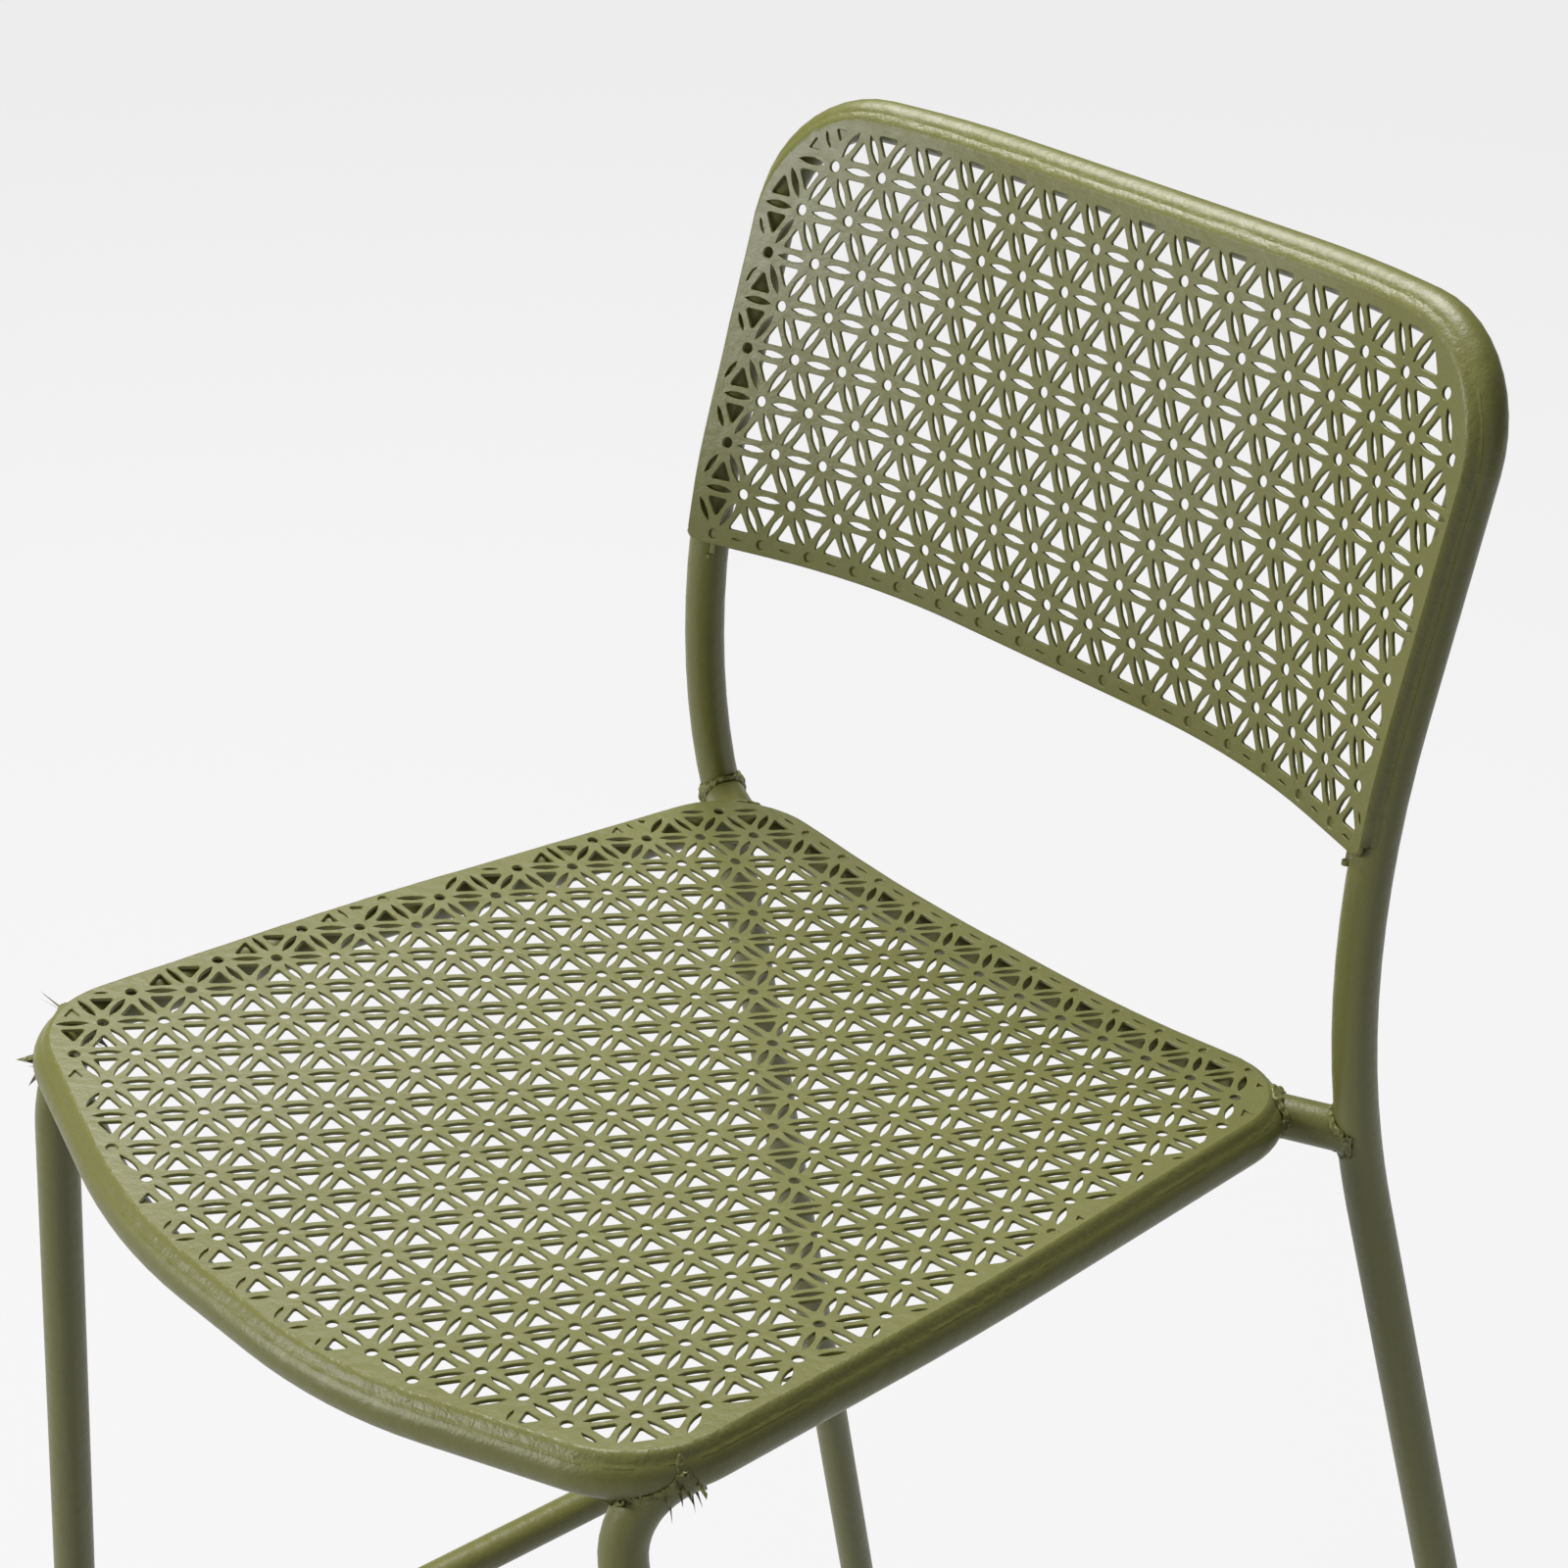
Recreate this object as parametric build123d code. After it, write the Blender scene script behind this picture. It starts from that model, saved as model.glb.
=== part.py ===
"""Bar-height stacking chair: bent steel tube frame with perforated sheet seat and back.

The frame is drawn square to the seat: +X to the sitter's left, +Y to the rear, +Z up from the seat,
with its origin at the middle of the seat's top face. The whole frame then leans back by seat_lean and
is lifted to seat_height, so that the feet stand on z = 0 and the origin is under the middle of the chair.
"""
from build123d import *
import math
import os

# Stock: one tube and one sheet for the whole chair, in millimetres and degrees
tube_diameter = 19.0
tube_wall = 1.5
sheet_thickness = 1.5
sheet_gap = 0.3  # coating between a sheet and the tube behind it
sheet_overhang = 3.0  # sheet past the tube's centreline
weld_leg = 2.4  # thickness of a bead on the branch tube
weld_reach = 2.7  # and on the tube that it joins
weld_gap = 0.1  # coating between a bead and its tubes

# Stance
seat_height = 750.0  # floor to the middle of the seat
seat_lean = 1.8  # the seat falls this much to the rear

# Seat ring, on the tube's centreline
frame_width = 415.0  # hoop, and seat ring at its front corners
seat_depth = 423.5
seat_front_reach = 195.0  # from the seat's middle to the front rail
front_rail_bow = 41.5  # how far the front corners stand behind the front rail
side_turn_y = 10.0  # where the side rails turn inwards
side_turn_inset = 6.8
rear_corner_inset = 28.0
front_corner_radius = 42.0
rear_corner_radius = 44.0
side_turn_radius = 1600.0

# Dish shared by the seat ring and the seat panel
dish_flat = 140.0  # flat middle of the dish and of the front rail
dish_slope = 0.095
dish_bend_radius = 980.0

# Hoop on its centreline: rear legs, uprights and top rail in one bent tube
hoop_top = 339.5  # top rail above the seat's middle
hoop_corner_radius = 52.0
upright_set_back = 6.0  # from the seat's rear rail to the uprights, at the seat's level
lean_bend_z = 95.0
lean_bend_radius = 370.0
back_lean = 15.7
rear_leg_lean = 15.0
rear_leg_splay = 4.7
splay_bend_z = -25.0
splay_bend_radius = 420.0

# Back panel, bowed to the rear between the uprights
panel_bottom = 137.0  # lower edge above the seat's middle
panel_flat = 234.0  # between the two bends of the panel and of the top rail
top_bow = 17.0
bottom_bow = 32.0
panel_bend_radius = 330.0
panel_lower_corner_radius = 6.0
hem_height = 6.0  # lower edge folded flat behind the panel
hem_gap = 0.4
hem_end_gap = 2.0  # between the hem and the uprights
panel_weld_radius = 1.8
panel_weld_length = 12.0

# Front legs, bent to the rear at the top to run into the side rails
front_leg_inset = 16.5  # inside the front corners of the seat ring
front_leg_advance = 2.5  # ahead of the front corners of the seat ring
front_leg_splay = 6.8
front_leg_lean = 2.0
front_leg_bend_z = -13.0
front_leg_bend_radius = 38.0
front_leg_joint_run = 22.0  # from the front corners of the seat ring back to the joint

# Rails between the legs, below the seat
stretcher_drop = 434.0
footrest_drop = 484.0

# Foot glides
glide_height = 8.0
glide_lip = 1.0
glide_plug_length = 22.0
glide_clearance = 0.1
glide_chamfer = 1.5

# Perforation: round holes on a triangular grid, slots between them, a window in each triangle
pitch = 26.0
round_hole_diameter = 5.0
slot_length = 14.0
slot_width = 3.1
window_side = 10.1
edge_margin = 1.5  # solid sheet outside the last openings
seat_pattern_shift = -2.6
back_pattern_shift = -4.9
back_pattern_row_z = 252.6  # one row of round holes with a hole beside the middle

# Values that follow from the sizes above
tube_radius = tube_diameter / 2
bore_radius = tube_radius - tube_wall
ring_drop = sheet_thickness + sheet_gap + tube_radius
seat_front_y = -seat_front_reach
seat_rear_y = seat_depth - seat_front_reach
half_frame = frame_width / 2
half_dish = dish_flat / 2
half_panel_flat = panel_flat / 2
seat_below = -seat_height - 80.0  # below the floor, for parts that the floor trims


# ---------------------------------------------------------------- paths and rods
def half_turn(before, here, after):
    """Half the angle through which a path turns at a corner, in radians."""
    inside = (before - here).get_angle(after - here)
    return math.radians(180 - inside) / 2


def bend_path(points, radii, closed=False):
    """Straight runs through the points, with a tangent arc of its own radius at each corner."""
    count = len(points)
    first, last = (0, count) if closed else (1, count - 1)
    ends = [(point, point) for point in points]
    arcs = {}
    for index in range(first, last):
        before, here, after = points[index - 1], points[index], points[(index + 1) % count]
        back = (before - here).normalized()
        ahead = (after - here).normalized()
        turn = half_turn(before, here, after)
        radius = radii[index - first]
        reach = radius * math.tan(turn)
        middle = here + (back + ahead).normalized() * (radius / math.cos(turn) - radius)
        ends[index] = (here + back * reach, here + ahead * reach)
        arcs[index] = Edge.make_three_point_arc(ends[index][0], middle, ends[index][1])
    edges = []
    for index in range(count if closed else count - 1):
        if index in arcs:
            edges.append(arcs[index])
        edges.append(Edge.make_line(ends[index][1], ends[(index + 1) % count][0]))
    return Wire(edges)


def mirrored(points):
    """The points from left to right, then their mirror images from right to left."""
    return points + [Vector(-point.X, point.Y, point.Z) for point in reversed(points)]


def rod(path, radius):
    """Solid round bar along a path."""
    section = Face(Wire.make_circle(radius, Plane(path @ 0, z_dir=path % 0)))
    return sweep(section, path)


def tube(path):
    """Tube of the chair's stock along a path."""
    plane = Plane(path @ 0, z_dir=path % 0)
    section = Face(Wire.make_circle(tube_radius, plane), [Wire.make_circle(bore_radius, plane)])
    return sweep(section, path)


def weld(branch, mains, keep_out=None):
    """Bead all round the end of a branch tube where it meets each main tube."""
    collar = rod(branch, tube_radius + weld_leg) - rod(branch, tube_radius + weld_gap)
    beads = []
    for main in mains:
        bead = collar & (rod(main, tube_radius + weld_reach) - rod(main, tube_radius + 2 * weld_gap))
        bead = bead - keep_out if keep_out else bead
        beads.append(max(bead.solids(), key=lambda solid: solid.volume))
    return beads


# ---------------------------------------------------------------- lines of the frame
def dish(x):
    """Height of the seat's top face at x, before its bends are rounded."""
    return dish_slope * max(0.0, abs(x) - half_dish)


def on_ring(x, y):
    """Point of the seat ring's centreline at a corner of its plan."""
    return Vector(x, y, dish(x) - ring_drop)


front_corner = on_ring(half_frame, seat_front_y + front_rail_bow)
side_turn = on_ring(half_frame - side_turn_inset, side_turn_y)
rear_corner = on_ring(half_frame - rear_corner_inset, seat_rear_y)
front_turn = on_ring(half_dish, seat_front_y)
rear_turn = on_ring(half_dish, seat_rear_y)


def ring_path():
    """Closed centreline of the seat ring."""
    half = [rear_turn, rear_corner, side_turn, front_corner, front_turn]
    dish_reach = dish_bend_radius * math.tan(math.atan(dish_slope) / 2)
    front_middle = Vector(0, front_turn.Y, front_turn.Z)
    front_turn_radius = dish_reach / math.tan(half_turn(front_corner, front_turn, front_middle))
    radii = [dish_bend_radius, rear_corner_radius, side_turn_radius, front_corner_radius]
    radii.append(front_turn_radius)
    return bend_path(mirrored(half), radii + radii[::-1], closed=True)


def upright_y(z):
    """Depth of the uprights' straight upper run, carried down past the lean bend."""
    bend_y = seat_rear_y + upright_set_back - lean_bend_z * math.tan(math.radians(rear_leg_lean))
    return bend_y + (z - lean_bend_z) * math.tan(math.radians(back_lean))


def rear_leg_axis(z):
    """Point of the left rear leg's straight run, z measured from the seat."""
    lean = math.tan(math.radians(rear_leg_lean))
    splay = math.tan(math.radians(rear_leg_splay))
    x = half_frame + max(0.0, splay_bend_z - z) * splay
    return Vector(x, seat_rear_y + upright_set_back - z * lean, z)


def hoop_path():
    """Centreline of the hoop, from the left foot over the top rail to the right foot."""
    top_corner = Vector(half_frame, upright_y(hoop_top), hoop_top)
    top_turn = Vector(half_panel_flat, upright_y(hoop_top) + top_bow, hoop_top)
    half = [rear_leg_axis(seat_below), rear_leg_axis(splay_bend_z), rear_leg_axis(lean_bend_z)]
    half += [top_corner, top_turn]
    radii = [splay_bend_radius, lean_bend_radius, hoop_corner_radius, panel_bend_radius]
    return bend_path(mirrored(half), radii + radii[::-1])


def front_leg_axis(z):
    """Point of the left front leg's straight run, z measured from the seat."""
    x = front_corner.X - front_leg_inset - z * math.tan(math.radians(front_leg_splay))
    y = front_corner.Y - front_leg_advance - z * math.tan(math.radians(front_leg_lean))
    return Vector(x, y, z)


def front_leg_path():
    """Centreline of the left front leg, from the floor to the side rail's centreline."""
    along = (side_turn - front_corner).normalized()
    joint = front_corner + along * front_leg_joint_run
    points = [front_leg_axis(seat_below), front_leg_axis(front_leg_bend_z), joint]
    return bend_path(points, [front_leg_bend_radius])


def stub_path():
    """Centreline of the left stub, from the ring's rear corner out to the upright."""
    toward_rail = (rear_turn - rear_corner).normalized()
    toward_side = (side_turn - rear_corner).normalized()
    turn = half_turn(rear_turn, rear_corner, side_turn)
    rise = rear_corner_radius / math.cos(turn) - rear_corner_radius
    inner = rear_corner + (toward_rail + toward_side).normalized() * rise
    return Wire([Edge.make_line(inner, rear_leg_axis(inner.Z))])


def stretcher_path():
    """Centreline of the left side stretcher, from the front leg to the rear leg."""
    return Wire([Edge.make_line(front_leg_axis(-stretcher_drop), rear_leg_axis(-stretcher_drop))])


def footrest_path():
    """Centreline of the front footrest, from the left front leg to the right one."""
    left = front_leg_axis(-footrest_drop)
    return Wire([Edge.make_line(left, Vector(-left.X, left.Y, left.Z))])


# ---------------------------------------------------------------- perforation
def slot(x, y, angle):
    """Pointed slot between two arcs, centred at x, y."""
    tip = Vector(slot_length / 2, 0).rotate(Axis.Z, angle)
    side = Vector(0, slot_width / 2).rotate(Axis.Z, angle)
    centre = Vector(x, y)
    upper = Edge.make_three_point_arc(centre - tip, centre + side, centre + tip)
    lower = Edge.make_three_point_arc(centre + tip, centre - side, centre - tip)
    return Wire([upper, lower])


def window(x, y, angle):
    """Triangular window with a corner at the given angle from its centre."""
    corner_reach = window_side / math.sqrt(3)
    corners = [Vector(corner_reach, 0).rotate(Axis.Z, angle + turn) for turn in (0, 120, 240)]
    return Wire.make_polygon([Vector(x, y) + corner for corner in corners], close=True)


def perforations(half_width, half_height, spread, rise, shift, fits):
    """Wires of the openings that fit, on a grid unrolled onto a bent sheet.

    spread(s, y) gives the x of a place that is s from the middle along the sheet, and rise gives the
    y of a row of the grid. fits(x, y, reach) tells whether an opening of that reach is inside.
    """
    row = pitch * math.sqrt(3) / 2
    rows = int(half_height / row) + 1
    columns = int(half_width / pitch) + rows
    openings = []
    for j in range(-rows, rows + 1):
        for i in range(-columns, columns + 1):
            s, t = (i + j / 2) * pitch + shift, j * row
            places = [(s, t, round_hole_diameter / 2, 0, None)]
            for angle in (0, 60, 120):
                step_s = pitch / 2 * math.cos(math.radians(angle))
                step_t = pitch / 2 * math.sin(math.radians(angle))
                places.append((s + step_s, t + step_t, slot_length / 2, angle, slot))
            places.append((s + pitch / 2, t + row / 3, window_side / math.sqrt(3), 90, window))
            places.append((s + pitch, t + row * 2 / 3, window_side / math.sqrt(3), 270, window))
            for place_s, place_t, reach, angle, shape in places:
                y = rise(place_t)
                x = spread(place_s, y)
                if abs(x) < half_width and fits(x, y, reach + edge_margin):
                    if shape:
                        openings.append(shape(x, y, angle))
                    else:
                        openings.append(Wire.make_circle(reach, Plane((x, y, 0))))
    return openings


def spread_past(s, flat, slope):
    """x of a place s along a strip that is flat in the middle and sloped outside it."""
    outside = max(0.0, abs(s) - flat)
    return math.copysign(abs(s) - outside + outside / math.hypot(1, slope), s)


# ---------------------------------------------------------------- sheets
def seat_outline():
    """Plan of the seat panel."""
    half = [rear_corner, side_turn, front_corner, front_turn]
    flat = [Vector(point.X, point.Y, 0) for point in half]
    front_turn_radius = dish_bend_radius * math.atan(dish_slope) / 2
    front_turn_radius /= math.tan(half_turn(flat[2], flat[3], Vector(0, seat_front_y, 0)))
    radii = [rear_corner_radius, side_turn_radius, front_corner_radius, front_turn_radius]
    plan = Face(bend_path(mirrored(flat), radii + radii[::-1], closed=True))
    return offset(plan, sheet_overhang).face()


def seat_layer(depth_from, depth_to):
    """Dished slab between two depths below the seat's top face."""
    reach = frame_width
    half = [Vector(reach, 0, dish(reach)), Vector(half_dish, 0, 0)]
    path = bend_path(mirrored(half), [dish_bend_radius, dish_bend_radius])
    low, high = path.moved(Pos(0, 0, -depth_to)), path.moved(Pos(0, 0, -depth_from))
    sides = [Edge.make_line(low @ 0, high @ 0), Edge.make_line(low @ 1, high @ 1)]
    profile = Face(Wire(low.edges() + high.edges() + sides))
    return extrude(profile, seat_depth, dir=(0, 1, 0), both=True)


def seat_blank(depth_from, depth_to):
    """Dished slab cut to the seat panel's outline."""
    prism = extrude(seat_outline(), frame_width, dir=(0, 0, 1), both=True)
    return seat_layer(depth_from, depth_to) & prism


def seat_panel():
    """Perforated seat sheet, lying on the seat ring."""
    outline = seat_outline()
    border = outline.outer_wire()

    def fits(x, y, reach):
        return outline.is_inside((x, y, 0)) and border.distance_to(Vector(x, y, 0)) > reach

    def spread(s, y):
        return spread_past(s, half_dish, dish_slope)

    openings = perforations(
        half_frame, seat_rear_y, spread, lambda t: t, seat_pattern_shift, fits)
    stencil = extrude(Face(border, openings), frame_width / 4, dir=(0, 0, 1), both=True)
    return seat_layer(0, sheet_thickness) & stencil


def bow_at(z):
    """How far the back panel's middle stands behind its sides at height z."""
    share = (z - panel_bottom) / (hoop_top - panel_bottom)
    return bottom_bow + (top_bow - bottom_bow) * share


def upright_centre_y(z):
    """Depth of the uprights' bent centreline at height z, at or above the lean bend's middle."""
    turn = math.radians(back_lean + rear_leg_lean) / 2
    reach = lean_bend_radius * math.tan(turn)
    lean = math.radians(back_lean)
    arc_end_z = lean_bend_z + reach * math.cos(lean)
    if z >= arc_end_z:
        return upright_y(z)
    centre_y = upright_y(arc_end_z) + lean_bend_radius * math.cos(lean)
    centre_z = arc_end_z - lean_bend_radius * math.sin(lean)
    return centre_y - math.sqrt(lean_bend_radius**2 - (z - centre_z) ** 2)


def panel_section(z, depth_from, depth_to):
    """Level section of the back panel, with depths measured forward from its rear face."""
    slope = bow_at(z) / (half_frame - half_panel_flat)
    lean = math.tan(math.radians(back_lean))
    stretch = math.hypot(1, slope, lean)
    side_y = upright_centre_y(z) - (tube_radius + sheet_gap) * stretch
    reach = half_frame + tube_diameter
    end = Vector(reach, side_y - slope * tube_diameter, z)
    turn = Vector(half_panel_flat, side_y + bow_at(z), z)
    path = bend_path(mirrored([end, turn]), [panel_bend_radius, panel_bend_radius])
    rear = path.moved(Pos(0, -depth_from * stretch, 0))
    front = path.moved(Pos(0, -depth_to * stretch, 0))
    sides = [Edge.make_line(rear @ 0, front @ 0), Edge.make_line(rear @ 1, front @ 1)]
    return Wire(rear.edges() + front.edges() + sides)


def panel_layer(depth_from, depth_to):
    """Bowed slab that follows the uprights, between two depths in front of its rear face."""
    arc_steps = 4
    arc_top = lean_bend_z + lean_bend_radius * math.tan(math.radians(back_lean + rear_leg_lean) / 2)
    low = panel_bottom - hem_height
    heights = [low + (arc_top - low) * step / arc_steps for step in range(arc_steps + 1)]
    heights.append(hoop_top + tube_diameter)
    sections = [panel_section(z, depth_from, depth_to) for z in heights]
    return Solid.make_loft(sections, ruled=True)


def panel_outline():
    """Front view of the back panel, drawn in x and z."""
    side = half_frame + sheet_overhang
    top = hoop_top + sheet_overhang
    half = [Vector(side, panel_bottom, 0), Vector(side, top, 0)]
    radii = [panel_lower_corner_radius, hoop_corner_radius + sheet_overhang]
    return Face(bend_path(mirrored(half), radii + radii[::-1], closed=True))


def front_view_prism(face):
    """Solid through the whole depth of the chair from a front view drawn in x and z."""
    upright = face.rotate(Axis.X, 90)
    return extrude(upright, seat_depth * 2, dir=(0, 1, 0), both=True)


def back_hem():
    """Lower edge of the back panel, folded flat behind it."""
    width = frame_width - tube_diameter - 2 * hem_end_gap
    fold_height = sheet_thickness
    fold = Pos(0, 0, panel_bottom + fold_height / 2) * Box(width, seat_depth * 2, fold_height)
    leaf = Pos(0, 0, panel_bottom + hem_height / 2) * Box(width, seat_depth * 2, hem_height)
    back_of_leaf = -hem_gap - sheet_thickness
    return (panel_layer(back_of_leaf, 0) & fold) + (panel_layer(back_of_leaf, -hem_gap) & leaf)


def back_panel():
    """Perforated back sheet, lying on the front of the hoop."""
    outline = panel_outline()
    border = outline.outer_wire()
    hem_top = panel_bottom + hem_height

    def fits(x, z, reach):
        clear_of_edge = outline.is_inside((x, z, 0)) and border.distance_to(Vector(x, z, 0)) > reach
        return clear_of_edge and z - reach > hem_top

    def spread(s, z):
        return spread_past(s, half_panel_flat, bow_at(z) / (half_frame - half_panel_flat))

    def rise(t):
        return back_pattern_row_z + t / math.hypot(1, middle_slope)

    height = hoop_top - panel_bottom
    middle_slope = math.tan(math.radians(back_lean)) - (bottom_bow - top_bow) / height
    openings = perforations(half_frame, height, spread, rise, back_pattern_shift, fits)
    stencil = front_view_prism(Face(border, openings))
    return (panel_layer(0, sheet_thickness) & stencil) + back_hem()


# ---------------------------------------------------------------- tubes
def seat_ring():
    """Closed tube ring that carries the seat panel."""
    return tube(ring_path())


def stub():
    """Short tube from the ring's rear corner to the left upright."""
    return tube(stub_path()) - rod(ring_path(), tube_radius) - rod(hoop_path(), tube_radius)


def front_leg():
    """Left front leg, coped onto the seat ring."""
    return tube(front_leg_path()) - rod(ring_path(), tube_radius)


def side_stretcher():
    """Left side stretcher, coped between the two legs."""
    legs = rod(front_leg_path(), tube_radius) + rod(hoop_path(), tube_radius)
    return tube(stretcher_path()) - legs


def front_footrest():
    """Footrest bar, coped between the front legs."""
    left = rod(front_leg_path(), tube_radius + weld_gap)
    return tube(footrest_path()) - left - left.mirror(Plane.YZ)


def back_panel_weld():
    """Short bead at the back panel's lower left corner, on the inside of the upright."""
    low, high = panel_bottom - panel_weld_length * 2 / 3, panel_bottom + panel_weld_length / 3
    inward = Vector(-0.8, -0.6) * (tube_radius + panel_weld_radius / 2)
    ends = [Vector(half_frame, upright_centre_y(z), z) + inward for z in (low, high)]
    bead = rod(Wire([Edge.make_line(*ends)]), panel_weld_radius)
    return bead - rod(hoop_path(), tube_radius) - panel_layer(-hem_gap - sheet_thickness, sheet_thickness)


# ---------------------------------------------------------------- standing the chair up
def stood(shape):
    """The shape leaned back and lifted, with the floor at z = 0."""
    return Pos(0, 0, seat_height) * Rot(X=-seat_lean) * shape


def level_slab(low, high):
    """Everything between two heights above the floor."""
    size = 4 * seat_height
    return Pos(0, 0, (low + high) / 2) * Box(size, size, high - low)


def above_glides(shape):
    """The shape stood up, with its legs cut level on top of the glides."""
    return stood(shape) & level_slab(glide_height, 3 * seat_height)


def glide(axis):
    """Foot glide of the leg that follows the given axis: a level pad and a plug in the bore."""
    line = Wire([Edge.make_line(axis(seat_below), axis(splay_bend_z))])
    pad = stood(rod(line, tube_radius + glide_lip)) & level_slab(0, glide_height)
    pad = chamfer(pad.edges().group_by(Axis.Z)[0], glide_chamfer)
    plug = stood(rod(line, bore_radius - glide_clearance))
    return pad + (plug & level_slab(glide_height, glide_height + glide_plug_length))


def both_sides(left_part):
    """A left part and its mirror image."""
    return [left_part, left_part.mirror(Plane.YZ)]


def chair():
    """Every piece of the chair by node name, before it is centred over the origin."""
    ring, hoop, leg = ring_path(), hoop_path(), front_leg_path()
    seat_space = seat_blank(-tube_diameter, sheet_thickness + sheet_gap / 2)
    pieces = {
        "back_hoop": above_glides(tube(hoop)),
        "seat_ring": stood(seat_ring()),
        "seat_panel": stood(seat_panel()),
        "back_panel": stood(back_panel()),
        "front_footrest": stood(front_footrest()),
    }
    pairs = {
        "stub": stood(stub()),
        "front_leg": above_glides(front_leg()),
        "side_stretcher": stood(side_stretcher()),
        "front_glide": glide(front_leg_axis),
        "rear_glide": glide(rear_leg_axis),
    }
    for name, left_part in pairs.items():
        pieces[name + "_left"], pieces[name + "_right"] = both_sides(left_part)
    welds = {
        "stub_welds": weld(stub_path(), [ring, hoop], seat_space),
        "front_leg_welds": weld(leg, [ring], seat_space),
        "stretcher_welds": weld(stretcher_path(), [leg, hoop]),
        "footrest_welds": weld(footrest_path(), [leg]),
        "back_panel_welds": [back_panel_weld()],
    }
    for name, beads in welds.items():
        group = [side for bead in beads for side in both_sides(stood(bead))]
        pieces[name] = Compound(children=group)
    return pieces


def centred(pieces):
    """The pieces moved so that the origin is under the middle of the whole chair."""
    box = Compound([piece.solids()[0] for piece in pieces.values()]).bounding_box()
    return {name: Pos(0, -box.center().Y, 0) * piece for name, piece in pieces.items()}


os.makedirs("parts", exist_ok=True)
for name, piece in centred(chair()).items():
    export_step(piece, f"parts/{name}.step", write_pcurves=False)
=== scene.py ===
"""Bar-height stacking chair: the look of its powder-coated frame, punched seat and back, and feet."""
import bmesh
import bpy
import math
import numpy as np
from mathutils import Matrix, Vector, noise
from mathutils.bvhtree import BVHTree


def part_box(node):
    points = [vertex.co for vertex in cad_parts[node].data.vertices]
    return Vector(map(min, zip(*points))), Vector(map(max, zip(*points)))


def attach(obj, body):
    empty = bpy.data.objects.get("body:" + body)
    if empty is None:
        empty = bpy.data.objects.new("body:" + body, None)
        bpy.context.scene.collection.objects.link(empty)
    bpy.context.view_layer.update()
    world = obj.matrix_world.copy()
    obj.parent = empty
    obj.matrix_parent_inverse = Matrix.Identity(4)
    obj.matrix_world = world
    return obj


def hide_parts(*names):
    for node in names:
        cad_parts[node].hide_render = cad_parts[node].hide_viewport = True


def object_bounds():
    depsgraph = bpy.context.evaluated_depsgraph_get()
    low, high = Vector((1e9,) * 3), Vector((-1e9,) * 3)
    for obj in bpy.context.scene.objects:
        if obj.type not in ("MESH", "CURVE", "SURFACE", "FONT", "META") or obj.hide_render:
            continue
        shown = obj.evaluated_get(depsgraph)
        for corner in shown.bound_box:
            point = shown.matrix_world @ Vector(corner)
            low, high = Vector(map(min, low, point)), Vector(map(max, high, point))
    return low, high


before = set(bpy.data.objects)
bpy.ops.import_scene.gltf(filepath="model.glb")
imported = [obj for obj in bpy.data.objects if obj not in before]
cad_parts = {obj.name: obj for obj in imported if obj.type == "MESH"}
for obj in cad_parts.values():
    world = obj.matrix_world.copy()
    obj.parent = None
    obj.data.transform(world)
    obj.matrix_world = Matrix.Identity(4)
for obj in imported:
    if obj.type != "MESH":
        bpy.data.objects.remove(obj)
cad_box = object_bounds()
mm = 0.001

# ---------------------------------------------------------------- the hoop
# Rear legs, uprights and top rail are one 19 mm steel tube, bent on a mandrel, then powder-coated olive
# green with the rest of the chair. The coat is a satin one with a fine orange peel, and it has settled
# a little thicker and glossier in some places than in others.
coat_green = (0.178, 0.181, 0.047)


class Flow:
    """A value or colour that nodes work out. Arithmetic on it adds Math nodes to its tree."""

    def __init__(self, tree, socket):
        self.tree, self.socket = tree, socket

    def math(self, operation, *others):
        node = add(self.tree, "ShaderNodeMath", {"operation": operation}, (self, *others))
        return node[0]

    def __add__(self, other):
        return self.math("ADD", other)

    def __sub__(self, other):
        return self.math("SUBTRACT", other)

    def __mul__(self, other):
        return self.math("MULTIPLY", other)

    def __truediv__(self, other):
        return self.math("DIVIDE", other)

    def __radd__(self, other):
        return self + other

    def __rmul__(self, other):
        return self * other

    def __rsub__(self, other):
        return (self * -1) + other

    def __gt__(self, other):
        return self.math("GREATER_THAN", other)

    def __lt__(self, other):
        return self.math("LESS_THAN", other)


def add(tree, kind, settings=None, values=()):
    """A node of any kind in a tree. Settings are set first, then its sockets by name or by order."""
    node = tree.nodes.new(kind)
    for name, setting in (settings or {}).items():
        if name == "stops":
            ramp = node.color_ramp.elements
            while len(ramp) < len(setting):
                ramp.new(0.5)
            for stop, (place, colour) in zip(ramp, setting):
                stop.position, stop.color = place, (*colour, 1)
        else:
            setattr(node, name, setting)
    pairs = values.items() if isinstance(values, dict) else enumerate(values)
    for key, value in pairs:
        if isinstance(value, Flow):
            tree.links.new(value.socket, node.inputs[key])
        elif value is not None:
            node.inputs[key].default_value = value
    outputs = [Flow(tree, socket) for socket in node.outputs]
    return [output for output in outputs if output.socket.enabled] or outputs


def mixed(tree, share, first, second):
    """A colour between two colours."""
    colours = [c if isinstance(c, Flow) else (*c, 1) for c in (first, second)]
    node = tree.nodes.new("ShaderNodeMix")
    node.data_type = "RGBA"
    for socket, value in zip((node.inputs[0], node.inputs[6], node.inputs[7]), (share, *colours)):
        if isinstance(value, Flow):
            tree.links.new(value.socket, socket)
        else:
            socket.default_value = value
    return Flow(tree, node.outputs[2])


def noise_in(tree, place, scale, detail, roughness=0.5):
    """Noise at a place, with scale grains to the metre."""
    values = {"Vector": place, "Scale": scale, "Detail": detail, "Roughness": roughness}
    return add(tree, "ShaderNodeTexNoise", {}, values)[0]


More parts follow.
